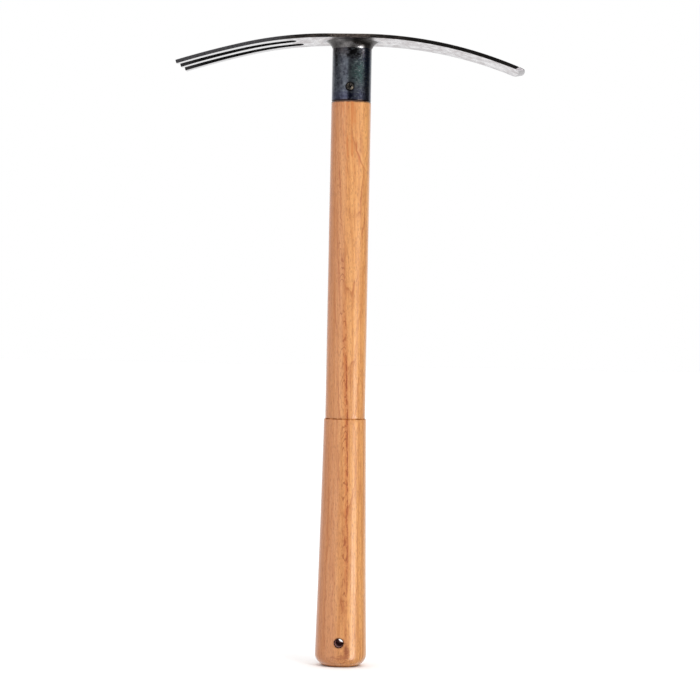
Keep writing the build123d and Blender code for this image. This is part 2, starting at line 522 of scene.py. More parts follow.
def add_rim(bm, outside, inside):
    """The tube's lower end, rounded on the outside and slightly broken on the inside."""
    profile = [
        (TUBE_RADIUS - RIM_ROUND * (1 - cos(a)), RIM_HEIGHT + RIM_ROUND * (1 - sin(a)))
        for a in spread(0, pi / 2, 4)[1:]
    ]
    profile += [(SOCKET_RADIUS + 0.2, RIM_HEIGHT), (SOCKET_RADIUS, RIM_HEIGHT + 0.2)]
    join_loops(bm, turn_on(bm, outside, profile), inside)


# Weld bead

def weld_profile(wave):
    """Points (radius, height) from the root of the bead on the tube to its toe on the strip."""
    root = WELD_ROOT + 0.25 + 0.35 * wave
    toe = WELD_TOE_RADIUS - 0.35 - 0.3 * wave
    points = []
    for share in spread(0, 1, 14):
        radius = TUBE_RADIUS + (toe - TUBE_RADIUS) * share
        height = root + (STRIP_UNDERSIDE - root) * share
        hollow = WELD_HOLLOW * sin(pi * share)
        points.append((radius - hollow * 0.72, height + hollow * 0.69))
    return points


def make_weld(material):
    bm = bmesh.new()
    segments = 240
    columns = []
    for i in range(segments):
        angle = 2 * pi * i / segments
        wave = noise.noise(Vector((3 * cos(angle), 3 * sin(angle), 0.4)))
        columns.append(weld_column(angle, wave))
    loops = add_rings(bm, zip(*columns))
    join_loops(bm, loops[-1], loops[0])
    add_piece("weld_fillet", bm, material, 40)


def weld_column(angle, wave):
    """One section of the bead, with the overlapping ripples of a weld run round the tube."""
    column = []
    profile = weld_profile(wave)
    for i, (radius, height) in enumerate(profile):
        share = i / (len(profile) - 1)
        lag = 0.35 * sin(pi * share)
        ripple = abs(sin(angle * 44 + lag * 2 + 1.5 * wave))
        lift = 0.09 * sin(pi * share) * (ripple - 0.5)
        point = on_turned(radius + lift, angle, height - lift)
        point.z = min(point.z, underside_at(point.x) + WELD_OVERLAP)
        column.append(point)
    inner = on_turned(TUBE_RADIUS - WELD_OVERLAP, angle, STRIP_UNDERSIDE)
    for point in (column[-1], inner):
        point.z = underside_at(point.x) + WELD_OVERLAP
    return column + [inner, on_turned(TUBE_RADIUS - WELD_OVERLAP, angle, column[0].z + 0.3)]


# Head strip

def arc_drop(reach, radius):
    """How far an arc has dropped at a distance from where it starts level."""
    return radius - sqrt(max(radius * radius - reach * reach, 0))


def underside_at(x):
    """Height of the strip's underside near its middle."""
    if x > BLADE_FLAT:
        return STRIP_UNDERSIDE - arc_drop(x - BLADE_FLAT, BLADE_BEND_RADIUS)
    if x < -TINE_FLAT:
        return STRIP_UNDERSIDE - arc_drop(-x - TINE_FLAT, TINE_BEND_RADIUS)
    return STRIP_UNDERSIDE


def tine_centres():
    """Centres of the two tine bends, in the plane Y = 0."""
    first = Vector((-TINE_FLAT, 0, STRIP_UNDERSIDE - TINE_BEND_RADIUS))
    away = Vector((-sin(TINE_BEND_ANGLE), 0, cos(TINE_BEND_ANGLE)))
    second = first + away * (TINE_BEND_RADIUS - TINE_END_RADIUS)
    return first, second


def tine_point(x, y, height):
    """Bends a flat point of the tine side: x holds at mid thickness, height is square to the bend."""
    if x >= -TINE_FLAT:
        return Vector((x, y, STRIP_UNDERSIDE + height))
    first, second = tine_centres()
    middle = STRIP_THICKNESS / 2
    angle = asin(min(1, (first.x - x) / (TINE_BEND_RADIUS + middle)))
    centre, radius = first, TINE_BEND_RADIUS
    if angle > TINE_BEND_ANGLE:
        angle = asin((second.x - x) / (TINE_END_RADIUS + middle))
        centre, radius = second, TINE_END_RADIUS
    reach = radius + height
    return Vector((centre.x - reach * sin(angle), y, centre.z + reach * cos(angle)))


def blade_circle():
    """Centre and radius of the blade's edge, an arc through its corners and its middle."""
    front, middle, back = BLADE_FRONT_REACH, BLADE_MIDDLE_REACH, BLADE_BACK_REACH
    x = ((front**2 + back**2) / 2 - middle**2 + STRIP_HALF_WIDTH**2) / (front + back - 2 * middle)
    y = (front - back) * (2 * x - front - back) / (4 * STRIP_HALF_WIDTH)
    return Vector((x, y)), hypot(middle - x, y)


BLADE_CENTRE, BLADE_EDGE_RADIUS = blade_circle()


def edge_distance(x, y):
    """Distance in from the blade's curved edge, seen from above."""
    return BLADE_EDGE_RADIUS - (Vector((x, y)) - BLADE_CENTRE).length


def on_blade(gap, y):
    """The point at a given y on the curve that lies a gap in from the blade's edge."""
    radius = BLADE_EDGE_RADIUS - gap
    return Vector((BLADE_CENTRE.x + sqrt(radius**2 - (y - BLADE_CENTRE.y) ** 2), y))


def blade_outline():
    """The blade's edge from above, from its front corner to its back one, both rounded."""
    half = STRIP_HALF_WIDTH
    straight = half - BLADE_CORNER_RADIUS - 1
    edge = [on_blade(0, y) for y in spread(-straight, straight, 28)]
    corners = []
    for side, neighbour in ((-1, edge[0]), (1, edge[-1])):
        behind = on_blade(BEVEL_LENGTH, side * half)
        corners.append(rounded_corner(behind, on_blade(0, side * half), neighbour, BLADE_CORNER_RADIUS))
    return corners[0] + edge + corners[1][::-1]


def corner_distance(x, y):
    """Distance along X in from the line that cuts a blade corner off at 45 degrees."""
    reach = BLADE_FRONT_REACH if y < 0 else BLADE_BACK_REACH
    return reach + STRIP_HALF_WIDTH - BLADE_CORNER_RADIUS - x - abs(y)


def blade_point(x, y, height):
    """Bends a flat point of the blade side and grinds the bevels on its underside."""
    top = STRIP_TOP - arc_drop(max(x - BLADE_FLAT, 0), BLADE_BEND_RADIUS + STRIP_THICKNESS)
    bottom = underside_at(x)
    ground = min(edge_distance(x, y) / BEVEL_LENGTH, corner_distance(x, y) / CORNER_BEVEL, 1)
    least = BLADE_LAND / STRIP_THICKNESS
    share = least + (1 - least) * max(ground, 0)
    return Vector((x, y, top - (top - bottom) * share * (1 - height / STRIP_THICKNESS)))


def bent(point):
    """A point of the flat blank, carried to its place on the finished head."""
    return blade_point(*point) if point.x > 0 else tine_point(*point)


def tine_end():
    """Where a tine ends, at mid thickness, so that its top corner is at the full reach."""
    second = tine_centres()[1]
    angle = asin((second.x + TINE_REACH) / (TINE_END_RADIUS + STRIP_THICKNESS))
    return second.x - (TINE_END_RADIUS + STRIP_THICKNESS / 2) * sin(angle)


def rounded_corner(before, corner, after, radius):
    """The arc that rounds a corner of an outline."""
    first = (before - corner).normalized()
    second = (after - corner).normalized()
    half = first.angle(second) / 2
    centre = corner + (first + second).normalized() * radius / sin(half)
    start = corner + first * radius / tan(half)
    end = corner + second * radius / tan(half)
    points = []
    for share in spread(0, 1, 8):
        toward = (start - centre).lerp(end - centre, share)
        points.append(centre + toward.normalized() * radius)
    return points


def slot_outline(side, reach):
    """The gap beside the middle tine, from the outer tine's tip to the middle tine's."""
    end = tine_end()
    outer_root = STRIP_HALF_WIDTH - TINE_ROOT_WIDTH
    outer_tip = STRIP_HALF_WIDTH - TINE_TIP_WIDTH
    past = -TINE_REACH - 1
    share = (-reach - end) / (-reach - past)
    outer = Vector((end, outer_root + (outer_tip - outer_root) * share))
    inner = Vector((end, TINE_ROOT_WIDTH / 2 + (TINE_TIP_WIDTH - TINE_ROOT_WIDTH) / 2 * share))
    outer_corner = Vector((-reach, outer_root))
    inner_corner = Vector((-reach, TINE_ROOT_WIDTH / 2))
    points = [outer]
    points += rounded_corner(outer, outer_corner, inner_corner, SLOT_CORNER_RADIUS)
    points += rounded_corner(outer_corner, inner_corner, inner, SLOT_CORNER_RADIUS)
    points.append(inner)
    if side < 0:
        points = [Vector((p.x, -p.y)) for p in reversed(points)]
    return points


def head_outline():
    """The strip from above, counter-clockwise, and where the two ends of the bevel line are."""
    half = STRIP_HALF_WIDTH
    edge = blade_outline()
    end = tine_end()
    points = edge + [on_blade(BEVEL_LENGTH, half), Vector((end, half))]
    points += slot_outline(1, BACK_SLOT_REACH) + slot_outline(-1, FRONT_SLOT_REACH)
    points += [Vector((end, -half)), on_blade(BEVEL_LENGTH, -half)]
    return points, len(edge), len(points) - 1


def inset(points, distance):
    """The outline moved inwards by a distance, corners kept."""
    moved = []
    for before, point, after in zip(points[-1:] + points[:-1], points, points[1:] + points[:1]):
        first = (point - before).normalized()
        second = (after - point).normalized()
        inward = Vector((-first.y, first.x)) + Vector((-second.y, second.x))
        moved.append(point + inward * distance / (1 + first.dot(second)))
    return moved


def edge_rings():
    """(inset, height) of the rings that round the strip's edges, with a flat one beside each."""
    quarter = spread(0, pi / 2, 4)
    low = [(2 * EDGE_ROUND, 0)]
    low += [(EDGE_ROUND * (1 - sin(a)), EDGE_ROUND * (1 - cos(a))) for a in quarter]
    high = [(gap, STRIP_THICKNESS - height) for gap, height in reversed(low)]
    return low + [(0, STRIP_THICKNESS / 2)] + high


def make_head(material):
    bm = bmesh.new()
    outline, bevel_up, bevel_down = head_outline()
    loops = []
    for gap, height in edge_rings():
        ring = inset(outline, gap)
        loops.append([bm.verts.new((*point, height)) for point in ring])
    for lower, upper in zip(loops, loops[1:]):
        join_loops(bm, lower, upper)
    bm.faces.new(loops[-1])
    add_underside(bm, loops[0], bevel_up, bevel_down)
    cut_into_strips(bm)
    for vert in bm.verts:
        vert.co = bent(vert.co)
    add_piece("head", bm, material)


def add_underside(bm, ring, bevel_up, bevel_down):
    """The flat underside in two faces that meet at the line where the bevel starts."""
    across = spread(ring[bevel_up].co.y, ring[bevel_down].co.y, 24)[1:-1]
    line = [bm.verts.new((*on_blade(BEVEL_LENGTH, y), 0)) for y in across]
    bm.faces.new(ring[: bevel_up + 1] + line + [ring[bevel_down]])
    bm.faces.new([ring[bevel_down]] + list(reversed(line)) + ring[bevel_up:bevel_down])


def cut_into_strips(bm):
    """Cuts the flat blank across and along, so that it can bend smoothly."""
    for x in spread(-146.3, 146.9, 96):
        cut(bm, (x, 0, 0), (1, 0, 0))
    for y in spread(-30, 30, 15):
        cut(bm, (0, y + 0.013, 0), (0, 1, 0))
    for side, reach in ((-1, BLADE_FRONT_REACH), (1, BLADE_BACK_REACH)):
        for gap in (0, CORNER_BEVEL / 2, CORNER_BEVEL):
            start = reach - BLADE_CORNER_RADIUS - gap
            cut(bm, (start, side * STRIP_HALF_WIDTH, 0), (1, side, 0))


def cut(bm, place, direction):
    everything = bm.verts[:] + bm.edges[:] + bm.faces[:]
    bmesh.ops.bisect_plane(bm, geom=everything, dist=1e-6, plane_co=place, plane_no=direction)


# Fixing screw

def screw_radius(depth, angle):
    """Radius of the shank behind the head's face, with its thread as a spiral ridge."""
    thread_start = SCREW_LENGTH - SCREW_POINT - THREAD_TURNS * THREAD_PITCH
    if depth < thread_start:
        return SHANK_RADIUS
    tip = (SCREW_LENGTH - depth) / 2.2
    core = THREAD_CORE_RADIUS * min(1, tip)
    turn = (depth - thread_start) / THREAD_PITCH - angle / (2 * pi)
    ridge = max(0, 1 - abs((turn % 1) - 0.5) / 0.22)
    grow = min(1, (depth - thread_start) / 1.2, tip)
    return core + (THREAD_RADIUS - THREAD_CORE_RADIUS) * ridge * max(grow, 0)


def screw_head_profile():
    """(radius, depth) of the countersunk head, with its edge broken."""
    edge = ((1.2, 0), (0.25, 0.02), (0.04, 0.12), (0.04, 0.3), (1, 1.26))
    profile = [(SCREW_HEAD_RADIUS - gap, depth) for gap, depth in edge]
    return profile + [(SHANK_RADIUS, 0.3 + SCREW_HEAD_RADIUS - SHANK_RADIUS)]


def make_screw(material):
    bm = bmesh.new()
    angles = spread(0, 2 * pi, 72)[:-1]
    rings = [[screw_point(radius, a, depth) for a in angles] for radius, depth in screw_head_profile()]
    for depth in spread(2.6, SCREW_LENGTH - 0.05, 96):
        rings.append([screw_point(screw_radius(depth, a), a, depth) for a in angles])
    loops = add_rings(bm, rings)
    cap(bm, loops[0])
    cap(bm, loops[-1])
    press_recess(add_piece("fixing_screw", bm, material))


def screw_point(radius, angle, depth):
    """A point at an angle round the screw's axis, at a depth behind the face of its head."""
    return Vector((radius * cos(angle), depth - SCREW_FACE, SCREW_HEIGHT + radius * sin(angle)))


def press_recess(piece):
    """Cuts the cross recess, two tapered slots, into the screw's head."""
    bm = bmesh.new()
    for turn in RECESS_TURNS:
        add_slot_cutter(bm, radians(turn))
    bmesh.ops.recalc_face_normals(bm, faces=bm.faces)
    cutter = add_mesh("recess_cutter", bm)
    boolean = piece.modifiers.new("recess", "BOOLEAN")
    boolean.object = cutter
    boolean.solver = "EXACT"
    boolean.use_self = True
    graph = bpy.context.evaluated_depsgraph_get()
    finished = bpy.data.meshes.new_from_object(piece.evaluated_get(graph), depsgraph=graph)
    piece.modifiers.clear()
    piece.data = finished
    bpy.data.objects.remove(cutter)


def add_slot_cutter(bm, turn):
    """A block that narrows with depth, the shape of one slot of the recess."""
    corners = []
    for depth, span in ((-0.5, 4.9), (1.9, 1.5)):
        for across, wide in ((-1, -1), (1, -1), (1, 1), (-1, 1)):
            along = across * span / 2
            side = wide * (0.45 if depth < 0 else 0.32)
            x = along * cos(turn) - side * sin(turn)
            z = along * sin(turn) + side * cos(turn)
            corners.append(bm.verts.new((x * MM, (depth - SCREW_FACE) * MM, (SCREW_HEIGHT + z) * MM)))
    low, high = corners[:4], corners[4:]
    join_loops(bm, low, high)
    bm.faces.new(list(reversed(low)))
    bm.faces.new(high)


# Materials. A colour is (red, green, blue) as it looks on a screen, 0 to 255.

WHITE = (255, 255, 255)
FACE_ON = (1, 0, 1)
LANYARD_CENTRE = (0, 0, LANYARD_HEIGHT)
SCREW_CENTRE = (0, 0, SCREW_HEIGHT)
PITH = (-13, 70, 0)
GRAIN_SWEEP = 7e-5
GRAIN_WANDER = 2.2
RING_TILT = 0.03
RING_GAP = 2.7
STREAK_PLACE = 6.1
HOOK_GAP = 8.5
FIGURE_HEIGHT = 440
FIGURE_PLACE = 18.6


def wood_material():
    """Lacquered beech: swept grain, a dark red streak with hooked marks, ray flecks and pores."""
    material, s, place = new_material("lacquered_beech")
    grain = swept_grain(s, place)
    pores = s.noise(grain, (2.4, 2.4, 0.11), 3, 0.65)
    streak = s.noise(grain, (0.5, 0.5, 0.012), 3, 0.6)
    rings = wood_rings(s, grain)
    flecks = ray_flecks(s, grain)
    worn = worn_edge(s, place)

    # Painted light and wood tone together: the wood goes from darker and pinker on the left to lighter
    # and more golden on the right.
    broad = s.noise(grain, (0.06, 0.06, 0.008), 1)
    side = s.remap(s.split(place)[0], -15, 13, 0, 0.75, "LINEAR")
    colour = s.mix(s.share(side + broad * 0.5, 0.1, 1.1), (197, 131, 88), (231, 166, 98))
    colour = s.layers(
        colour,
        ((190, 120, 62), streak, 0.4, 0.62, 0.55),
        ((156, 96, 60), pores, 0.48, 0.7, 0.5),
        ((224, 166, 110), pores, 0.46, 0.28, 0.4),
    )
    colour = s.mix(rings * 0.75, colour, (168, 90, 44))
    colour = s.mix(flecks * 0.3, colour, (140, 78, 42))
    colour = shaft_figure(s, grain, colour)
    colour = red_streak(s, grain, colour)
    colour = wood_stains_and_shade(s, place, colour)
    # The worn butt edge is painted slightly paler: bare wood, plus a painted sheen in place of the
    # lacquer's reflection.
    colour = s.mix(worn * 0.05, colour, WHITE)

    relief = s.bump(pores, 0.03)
    relief = s.bump(s.noise(place, (0.35, 0.35, 0.05)), 0.12, relief)
    relief = s.bump(s.larger(flecks, rings), -0.02, relief)
    handled = s.noise(place, (0.08, 0.08, 0.02), 3)
    bare = s.larger(s.larger(bore_mask(s, place), shoulder_mask(s, place)), worn)
    s.surface(colour, s.remap(pores, 0.2, 0.8, 0.4, 0.55), {
        "Specular IOR Level": s.remap(bare, 0, 1, 0.35, 0),
        "Coat Weight": s.remap(bare, 0, 1, 0.85, 0),
        "Coat Roughness": s.remap(handled, 0.3, 0.7, 0.14, 0.26),
        "Normal": relief,
    })
    return material


def swept_grain(s, place):
    """The place in the wood with its sweep taken out, so that the grain runs along Z."""
    x, y, z = s.split(place)
    slow = s.noise(s.join(0, 7, z), (1, 1, 0.02), 1)
    return s.join(x + z * z * GRAIN_SWEEP + (slow - 0.5) * GRAIN_WANDER, y, z)


def wood_rings(s, grain):
    """Thin late-wood lines round a pith that lies behind the handle."""
    ripple = s.noise(grain, (0.1, 0.1, 0.03)) - 0.5
    depth = s.distance(grain, PITH, (1, 1, 0)) + s.split(grain)[2] * RING_TILT
    stops = ((0, 0.2), (0.07, 0), (0.55, 0.05), (0.86, 0.4), (0.96, 1), (1, 0.2))
    ring = s.cycle(depth + ripple * 4.2, RING_GAP)
    late = s.ramp(ring, stops)
    return late * s.remap(s.noise(grain, (0.12, 0.12, 0.02)), 0.35, 0.65, 0.25, 1)


def ray_flecks(s, grain):
    """Short spindle-shaped marks where the wood's rays meet the surface."""
    x, y, z = s.split(grain)
    around = s.calc("ARCTAN2", x, y * -1) * SHAFT_RADIUS
    large = fleck_layer(s, around, z, (0.62, 0.19), 0.36)
    small = fleck_layer(s, around + 37, z, (0.95, 0.3), 0.34)
    return s.larger(large, small * 0.75)


def fleck_layer(s, around, height, density, size):
    """One layer of flecks. Density is a number per millimetre across and along the grain."""
    flat = s.join(around * density[0], height * density[1], 0)
    shape = s.share(s.cells(flat), size, size * 0.4)
    chance = s.split(s.cells(flat, "Color"))[0]
    return shape * s.share(chance, 0.2, 0.8)


def shaft_figure(s, grain, colour):
    """Orange strokes at the top of the shaft, and a growth line that runs out to the right."""
    x, y, z = s.split(grain)
    high = s.share(z, FIGURE_HEIGHT - 30, FIGURE_HEIGHT) * s.share(y, -6, -10)
    strokes = s.share(s.noise(grain, (0.5, 0.5, 0.045), 3, 0.6), 0.5, 0.6, 0.6)
    colour = s.mix(strokes * s.share(abs(x - 16), 9, 5) * high, colour, (196, 112, 52))
    shiver = s.noise(grain, (0, 0, 0.12))
    line = s.larger(FIGURE_HEIGHT - z, 0) * 0.38 + shiver * 2.4 + FIGURE_PLACE
    past = x - line
    colour = s.mix(s.share(past, -0.2, 1.2, 0.04) * high, colour, (240, 184, 120))
    sloping = s.remap(z, FIGURE_HEIGHT + 22, FIGURE_HEIGHT - 4, 0.1, 0.8) * high
    colour = s.mix(s.share(abs(past), 0.9, 0.2) * sloping, colour, (176, 98, 48))
    beside = s.share(past, 0.4, 1.4, 0.3) * s.share(past, 3.6, 1.6)
    return s.mix(beside * sloping, colour, (248, 196, 132))


def red_streak(s, grain, colour):
    """The dark red streak down the front, with hooked marks against its left."""
    x, y, z = s.split(grain)
    front = s.share(y, -6, -10)
    shiver = s.noise(grain, (0, 0, 0.28), 3, 0.7) - 0.5
    left = STREAK_PLACE - x + shiver * 1.5
    broken = s.noise(grain, (0.5, 0.5, 0.16), 3, 0.7)
    fade = s.share(z, 330, 262) * s.remap(z, 30, 110, 0.2, 1) * front
    halo = s.share(abs(left - 0.5), 3.2, 0.3, 0.6) * s.remap(broken, 0.34, 0.56, 0.3, 1)
    colour = s.mix(halo * fade, colour, (194, 102, 42))
    line = s.share(abs(left), 0.85, 0.2) * s.remap(broken, 0.38, 0.58, 0.1, 0.95)
    colour = s.mix(line * fade, colour, (142, 62, 24))
    hooks = hooked_marks(s, left, z, grain) * s.remap(z, 440, 330, 0.25, 1)
    return s.mix(hooks * front, colour, (146, 68, 26))


def hooked_marks(s, left, height, grain):
    """Small arches, each one a growth ring that the surface just touches."""
    off = left - 2.3
    uneven = s.noise(grain, (0.2, 0.2, 0.05))
    ring = s.cycle(height + uneven * 34 + off * off * 0.6, HOOK_GAP)
    arch = s.share(abs(ring - 0.5), 0.17, 0.05)
    inside = s.share(left, -0.2, 0.5) * s.share(left, 5.6, 3.8)
    return arch * inside * s.share(s.noise(grain, (0.2, 0.2, 0.07)), 0.42, 0.6, 0.68)


def bore_mask(s, place):
    """1 inside the lanyard hole and on its ragged, blackened mouth."""
    ragged = s.noise(place, (0.7, 0.7, 0.7)) * 1.8
    return s.share(s.distance(place, LANYARD_CENTRE, FACE_ON) - ragged, 3.65, 3.05)


def worn_edge(s, place):
    """1 where the butt's rounded edge has lost its lacquer: widely behind, barely in front."""
    y, z = s.split(place)[1:]
    return s.larger(s.share(z, 3.2, 1.4), s.share(z, 11, 7.6) * s.share(y, -3, 5))


def shoulder_mask(s, place):
    """1 in the fine groove above the shoulder."""
    return s.share(abs(s.split(place)[2] - (SHOULDER_HEIGHT + 0.15)), 0.75, 0.3)


def wood_stains_and_shade(s, place, colour):
    """Shaft top scorched and in painted shade under the tube's rim, grime and painted shade in the
    shoulder groove, a dark bore and warm patches by the butt.
    """
    y, z = s.split(place)[1:]
    uneven = s.noise(place, (0.3, 0.3, 0.5), 3)
    # Painted shade and grime in the shoulder groove.
    groove_grime_and_shade = shoulder_mask(s, place) * s.remap(uneven, 0.4, 0.58, 0.15, 0.9)
    warm = s.distance(place, (6.6, -18, 13), (0.32, 0.05, 0.12)) + uneven * 1.4
    smudge = s.distance(place, (1, -18, 8), (0.1, 0.05, 0.3))
    scorch = s.distance(place, LANYARD_CENTRE, FACE_ON) + uneven * 2.4
    # Scorched wood and painted shade of the gap under the tube's rim.
    colour = s.layers(colour, ((44, 20, 8), z + uneven * 1.2, RIM_HEIGHT - 1.6, RIM_HEIGHT - 0.1, 0.93))
    colour = s.layers(
        s.mix(groove_grime_and_shade, colour, (134, 74, 36)),
        ((140, 70, 34), warm, 1.75, 0.95, 0.85),
        ((158, 84, 46), smudge + s.noise(place, (0.25, 0.3, 0.9), 3) * 2.6, 2.2, 1.75, 0.6),
        ((128, 72, 44), scorch, 7.2, 5.2, 0.6),
    )
    inside = s.mix(s.share(abs(y), 20.6, 19), (28, 14, 10), (196, 158, 158))
    return s.mix(bore_mask(s, place), colour, inside)


def head_material():
    """Ground spring steel: bright faces, dark oxide on the cut edges, a tint by the weld, and painted
    shade in the slots and towards the underside's far edge.
    """
    material, s, place = new_material("ground_steel")
    marks = s.noise(place, (0.035, 1.7, 0), 4, 0.6)
    smear = s.noise(place, (0.14, 0.07, 0.1), 5, 0.7)
    cut_side = cut_mask(s)
    colour = weld_tint(s, place, ground_faces(s, place, marks, smear))
    colour = s.mix(cut_side, colour, oxide_colour(s, place))
    colour = s.mix(bevel_mask(s, place), colour, bevel_colour(s, place, smear))
    relief = s.bump(s.noise(place, (0.12, 6, 0), 4, 0.6), 0.012)
    relief = s.bump(marks, 0.02, relief)
    relief = s.bump(s.noise(place, (0.22, 0.6, 0.9), 4, 0.65) * cut_side, 0.12, relief)
    rough = s.remap(marks, 0.25, 0.75, 0.22, 0.36) + cut_side * 0.2
    s.metal(colour, rough, relief, s.remap(cut_side, 0, 1, 1, 0.75))
    return material


def ground_faces(s, place, marks, smear):
    """The smeared bright underside, polished along the tines and in painted shade towards its far edge,
    and the brushed grey top.
    """
    x, y = s.split(place)[:2]
    bright = s.mix(s.share(marks, 0.36, 0.64), (190, 186, 188), (236, 234, 236))
    polished = s.mix(s.share(marks, 0.3, 0.7), (223, 223, 224), (242, 242, 243))
    worn = s.noise(place, (0.02, 0.05, 0.05), 3, 0.6)
    brushed = s.mix(s.share(marks, 0.32, 0.68), (158, 156, 159), (202, 200, 203))
    return s.layers(
        bright,
        ((172, 161, 163), smear, 0.48, 0.58, 0.85),
        ((251, 249, 251), smear, 0.47, 0.38, 0.8),
        (polished, x, -46, -62),
        # painted shade: the underside darkens towards the far edge
        ((178, 175, 178), y, 8, 33, 0.5),
        (s.layers(brushed, ((176, 174, 177), worn, 0.4, 0.65, 0.6)), s.normal()[2], 0.2, 0.5),
    )


def cut_mask(s):
    """1 on the cut faces: the strip's long sides, the slots and the tine ends."""
    along, across = s.normal()[:2]
    return s.larger(s.share(abs(across), 0.2, 0.5), s.share(along, -0.6, -0.85))


def oxide_colour(s, place):
    """Black-brown scale, grey and speckled out along the tines, near black in the slots from scale and
    painted shade.
    """
    x, y = s.split(place)[:2]
    scale = s.noise(place, (0.16, 0.6, 0.7), 4, 0.65)
    spots = s.noise(place, (0.8, 0.8, 1.2), 3, 0.6)
    oxide = s.mix(s.share(scale, 0.42, 0.68), (26, 23, 22), (74, 66, 61))
    mottled = s.mix(s.share(spots, 0.35, 0.62), (56, 55, 58), (92, 91, 94))
    oxide = s.layers(oxide, ((17, 14, 13), x, 28, 60, 0.85), (mottled, x, -44, -66, 0.95))
    specks = s.share(spots, 0.62, 0.7, 0.7) * s.share(x, 45, 10)
    oxide = s.mix(specks, oxide, (132, 126, 122))
    weld_mark = s.share(abs(x), 21, 15, 0.7) * s.share(spots, 0.48, 0.58)
    oxide = s.mix(weld_mark, oxide, (134, 120, 112))
    # Slot walls: near-black scale with painted shade.
    slots = s.share(abs(y), 31.6, 30.6) * s.share(x, -38, -44)
    dark = s.mix(s.share(x, -128, -146), (10, 10, 11), (52, 51, 53))
    return s.mix(slots, oxide, dark)


def bevel_mask(s, place):
    """1 on the bevels, where the underside near the edge turns away from the bend."""
    x = s.split(place)[0]
    slope = (x - BLADE_FLAT) * (1 / BLADE_BEND_RADIUS)
    level = s.calc("SQRT", 1 - slope * slope)
    along, _, up = s.normal()
    turned_away = s.share(along * slope + up * level, -0.965, -0.93)
    return turned_away * s.share(up, -0.3, -0.45) * s.share(x, 130, 136)


def bevel_colour(s, place, smear):
    """Grey, darkest at the front, but bright on the front corner's own bevel."""
    facet = s.mix(s.share(s.split(place)[1], -32, 26), (138, 134, 138), (182, 179, 182))
    front_corner = ((238, 232, 236), s.normal()[1], -0.12, -0.35)
    return s.layers(facet, ((150, 147, 150), smear, 0.4, 0.6, 0.6), front_corner)


def weld_tint(s, place, colour):
    """Straw, brown and blue temper rings that fade away from the weld."""
    uneven = s.noise(place, (0.12, 0.12, 0.12))
    reach = s.distance(place, (0, 0, 0), (1, 1, 0)) - uneven * 7
    band = s.remap(reach, WELD_TOE_RADIUS - 5, WELD_TOE_RADIUS + 7, kind="LINEAR")
    stops = [(0, (118, 112, 114)), (0.3, (118, 118, 132)), (0.5, (150, 122, 112))]
    tint = s.ramp(band, stops + [(0.7, (192, 170, 140)), (1, (212, 208, 204))])
    return s.mix(s.remap(band, 0.1, 0.9, 0.45, 0), colour, tint)


# Dark patches on the tube: (centre, half size along X, Y and Z, colour)
DARK_PATCHES = [
    ((2.6, -16.5, 524.5), (7, 20, 6.5), (16, 15, 17)),
    ((0.5, -16.8, 487), (2.6, 20, 4.6), (16, 20, 44)),
    ((-12.6, -11, 520), (1.3, 20, 9), (30, 25, 26)),
    ((14, -9.5, 516), (2.4, 9, 21), (60, 72, 98)),
]


def tube_material():
    """Heat-blued steel: teal bloom, violet mottling at the rim, dark patches by the weld and painted
    shade in the screw's seat.
    """
    material, s, place = new_material("blued_steel")
    x, y, z = s.split(place)
    cloud = s.noise(place, (0.16, 0.16, 0.12), 3, 0.6)
    mottle = s.noise(place, (0.32, 0.32, 0.4), 5, 0.75)
    crust = s.noise(place, (0.3, 0.3, 1.3), 4, 0.7)
    colour = s.mix(s.share(cloud, 0.35, 0.65), (86, 88, 98), (98, 103, 112))
    bloom = s.distance(place, (7, -15, 507), (0.1, 0.05, 0.07)) + mottle * 1.3
    colour = s.layers(
        colour,
        ((81, 107, 104), bloom, 1.75, 0.85, 0.9),
        ((80, 82, 108), z + mottle * 12, RIM_HEIGHT + 19, RIM_HEIGHT + 9, 0.75),
        ((84, 76, 76), z - mottle * 8, WELD_ROOT - 16, WELD_ROOT - 5, 0.75),
        ((46, 50, 61), mottle, 0.5, 0.6, 0.75),
        ((128, 134, 140), mottle, 0.46, 0.36, 0.65),
    )
    flaked = s.share(crust, 0.54, 0.62) * s.remap(x, -3, 3, 0.15, 0.75)
    colour = s.mix(flaked, colour, (150, 156, 158))
    for centre, half_sizes, patch_colour in DARK_PATCHES:
        ragged = s.distance(place, centre, tuple(1 / size for size in half_sizes))
        colour = s.layers(colour, (patch_colour, ragged + crust * 4.4 + mottle * 3.6, 5.05, 4.6, 0.93))
    colour = s.layers(colour, ((58, 38, 24), z + mottle, RIM_HEIGHT + 1.7, RIM_HEIGHT + 0.8, 0.85))
    # Painted shade on the walls of the seat round the screw head.
    seat = s.distance(place, SCREW_CENTRE, FACE_ON) - mottle * 1.2
    seat_shade = s.share(seat, 3.7, 3.2, 0.7) * s.share(y, -8, -12)
    colour = s.mix(seat_shade, colour, (20, 19, 20))
    relief = s.bump(s.noise(place, (1.4, 1.4, 0.03), 3, 0.6), 0.03)
    s.metal(colour, s.remap(mottle, 0.3, 0.7, 0.13, 0.24), s.bump(mottle, 0.03, relief))
    return material


